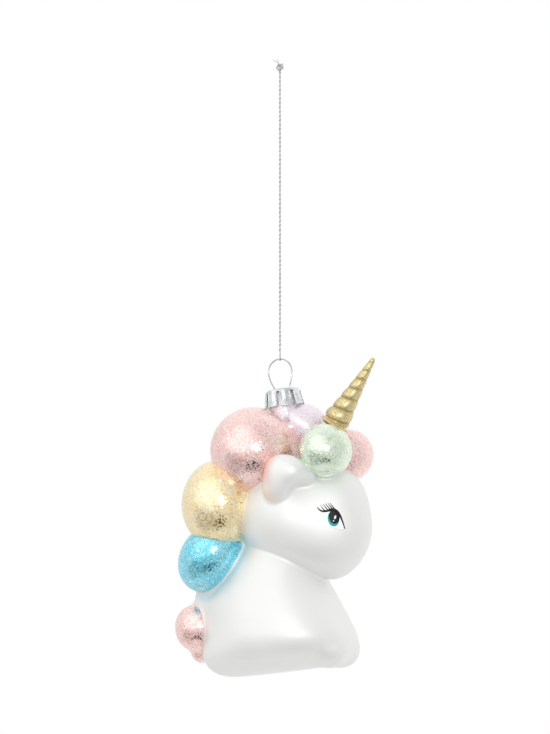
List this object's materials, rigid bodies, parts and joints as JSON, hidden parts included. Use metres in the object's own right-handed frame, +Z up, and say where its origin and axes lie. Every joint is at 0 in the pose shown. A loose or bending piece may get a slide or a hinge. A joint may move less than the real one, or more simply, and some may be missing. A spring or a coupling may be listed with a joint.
{
  "type": "unicorn ornament",
  "caption": "Hanging blown-glass unicorn ornament with glitter-coated mane bubbles, a gold spiral horn, a metal cap, a wire hanger and a knotted thread.",
  "frame": {"origin": "hanging point of the thread loop, just under its knot", "axes": "+Z up along the taut thread, +X towards the nose, +Y towards the animal's left side"},
  "size_m": [0.071, 0.0438, 0.2081],
  "materials": {
    "pearl_glass": "satin pearl lacquer over blown glass",
    "horn_gold": "fine gold glitter paint",
    "glue": "clear glue",
    "glitter_pink": "pink glitter",
    "glitter_gold": "gold glitter",
    "glitter_blue": "turquoise glitter",
    "glitter_lilac": "lilac glitter",
    "glitter_green": "pale green glitter",
    "eye_paint": "gloss enamel",
    "cap_metal": "bright stamped sheet",
    "hanger_wire": "bright wire",
    "thread": "silver metallic twisted thread"
  },
  "bodies": {
    "knot": {"cord_knot": "thread", "cord_tails": "thread"},
    "cord": {"cord_run": "thread"},
    "bight": {"cord_bight": "thread"},
    "hanger": {"wire_hanger": "hanger_wire"},
    "cap": {"crown_cap": "cap_metal"},
    "ornament": {"glass_body": "pearl_glass", "horn": "horn_gold", "horn_glue": "glue", "crown_coat": "glitter_pink", "nape_coat": "glitter_gold", "withers_coat": "glitter_blue", "poll_coat": "glitter_lilac", "forelock_right_coat": "glitter_green", "forelock_left_coat": "glitter_pink", "tail_coat": "glitter_pink", "eye_right": "eye_paint", "eye_left": "eye_paint"}
  },
  "joints": [
    {"name": "cord_swing", "type": "hinge", "parent": "knot", "child": "cord", "pos_m": [0, 0, 0], "axis": [0, 1, 0], "range_deg": [-45, 45]},
    {"name": "cord_twist", "type": "hinge", "parent": "cord", "child": "bight", "pos_m": [0, 0, -0.09574], "axis": [0, 0, 1], "continuous": true},
    {"name": "loop_roll", "type": "hinge", "parent": "bight", "child": "hanger", "pos_m": [0, 0, -0.1022], "axis": [0, 1, 0], "range_deg": [-60, 60]},
    {"name": "hanger_rock", "type": "hinge", "parent": "hanger", "child": "cap", "pos_m": [0.00077, 0, -0.10767], "axis": [0.9903, 0, 0.1392], "range_deg": [-12, 12]},
    {"name": "cap_pull", "type": "slide", "parent": "cap", "child": "ornament", "axis": [0.1392, 0, -0.9903], "range_m": [0, 0.016]}
  ]
}
